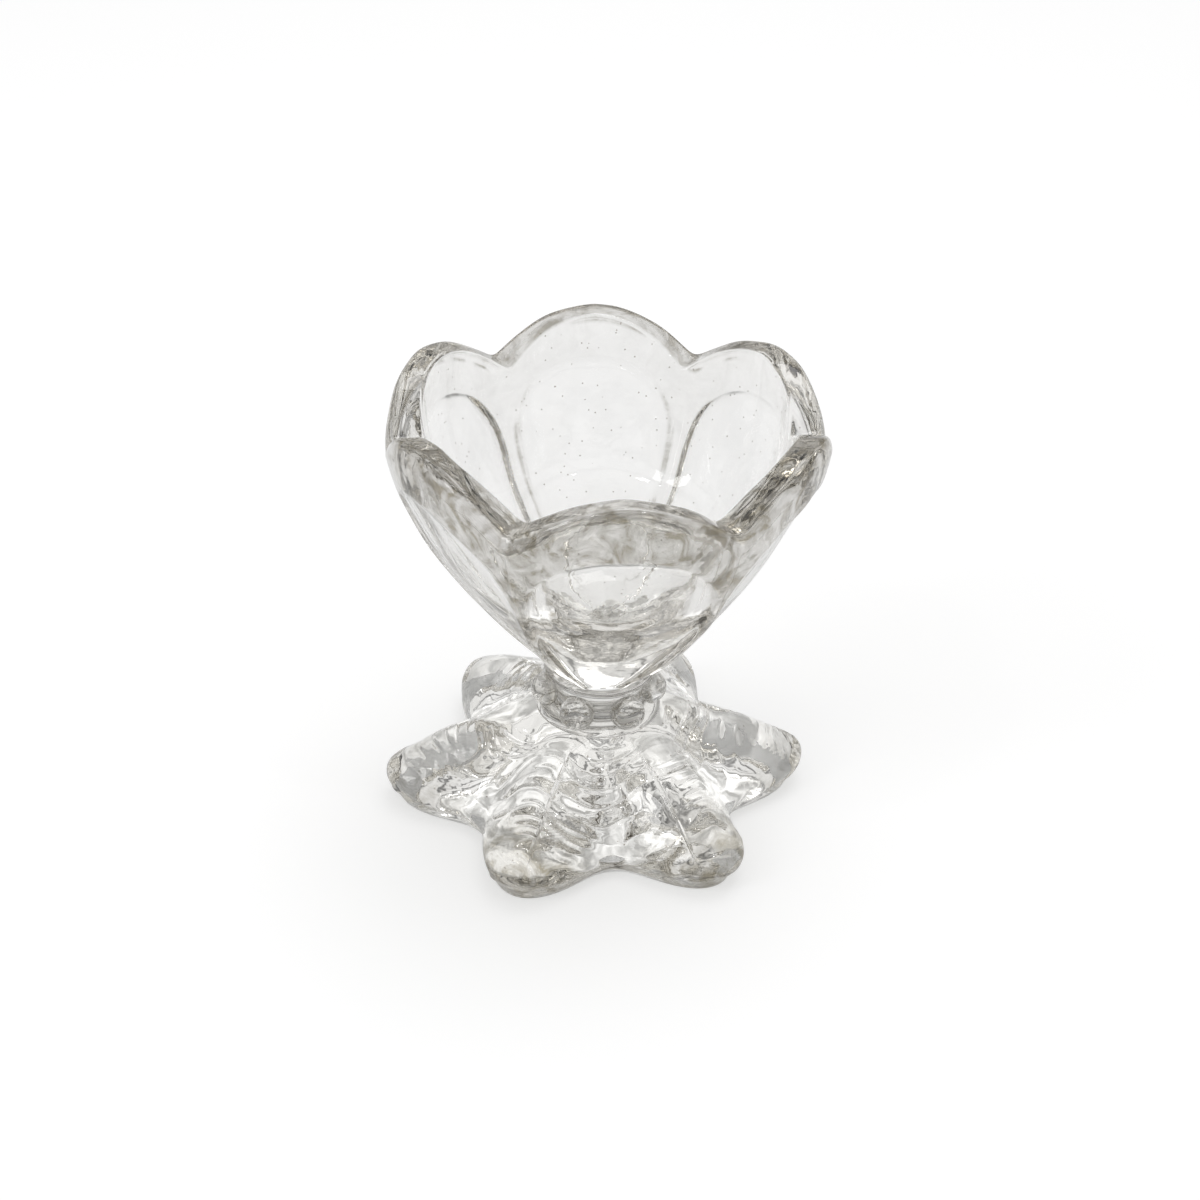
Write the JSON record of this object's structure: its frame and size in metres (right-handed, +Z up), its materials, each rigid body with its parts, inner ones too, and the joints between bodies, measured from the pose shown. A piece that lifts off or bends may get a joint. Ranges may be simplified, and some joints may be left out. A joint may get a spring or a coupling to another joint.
{
  "type": "salt cellar",
  "caption": "Open salt cellar in clear pressed glass: a petalled bowl with scooped panels on a beaded collar and a star-shaped foot that stands on a table.",
  "frame": {"origin": "on the table, at the centre of the foot", "axes": "+Z up through the middle of the bowl; -Y faces the petal at the front; +X runs through a notch of the rim"},
  "size_m": [0.0624, 0.061, 0.065],
  "materials": {
    "clear_glass": "clear pressed glass, fire polished, with faint seams, ripples and specks"
  },
  "bodies": {
    "root": {"petal_bowl": "clear_glass", "beaded_collar": "clear_glass", "star_foot": "clear_glass"}
  },
  "joints": []
}
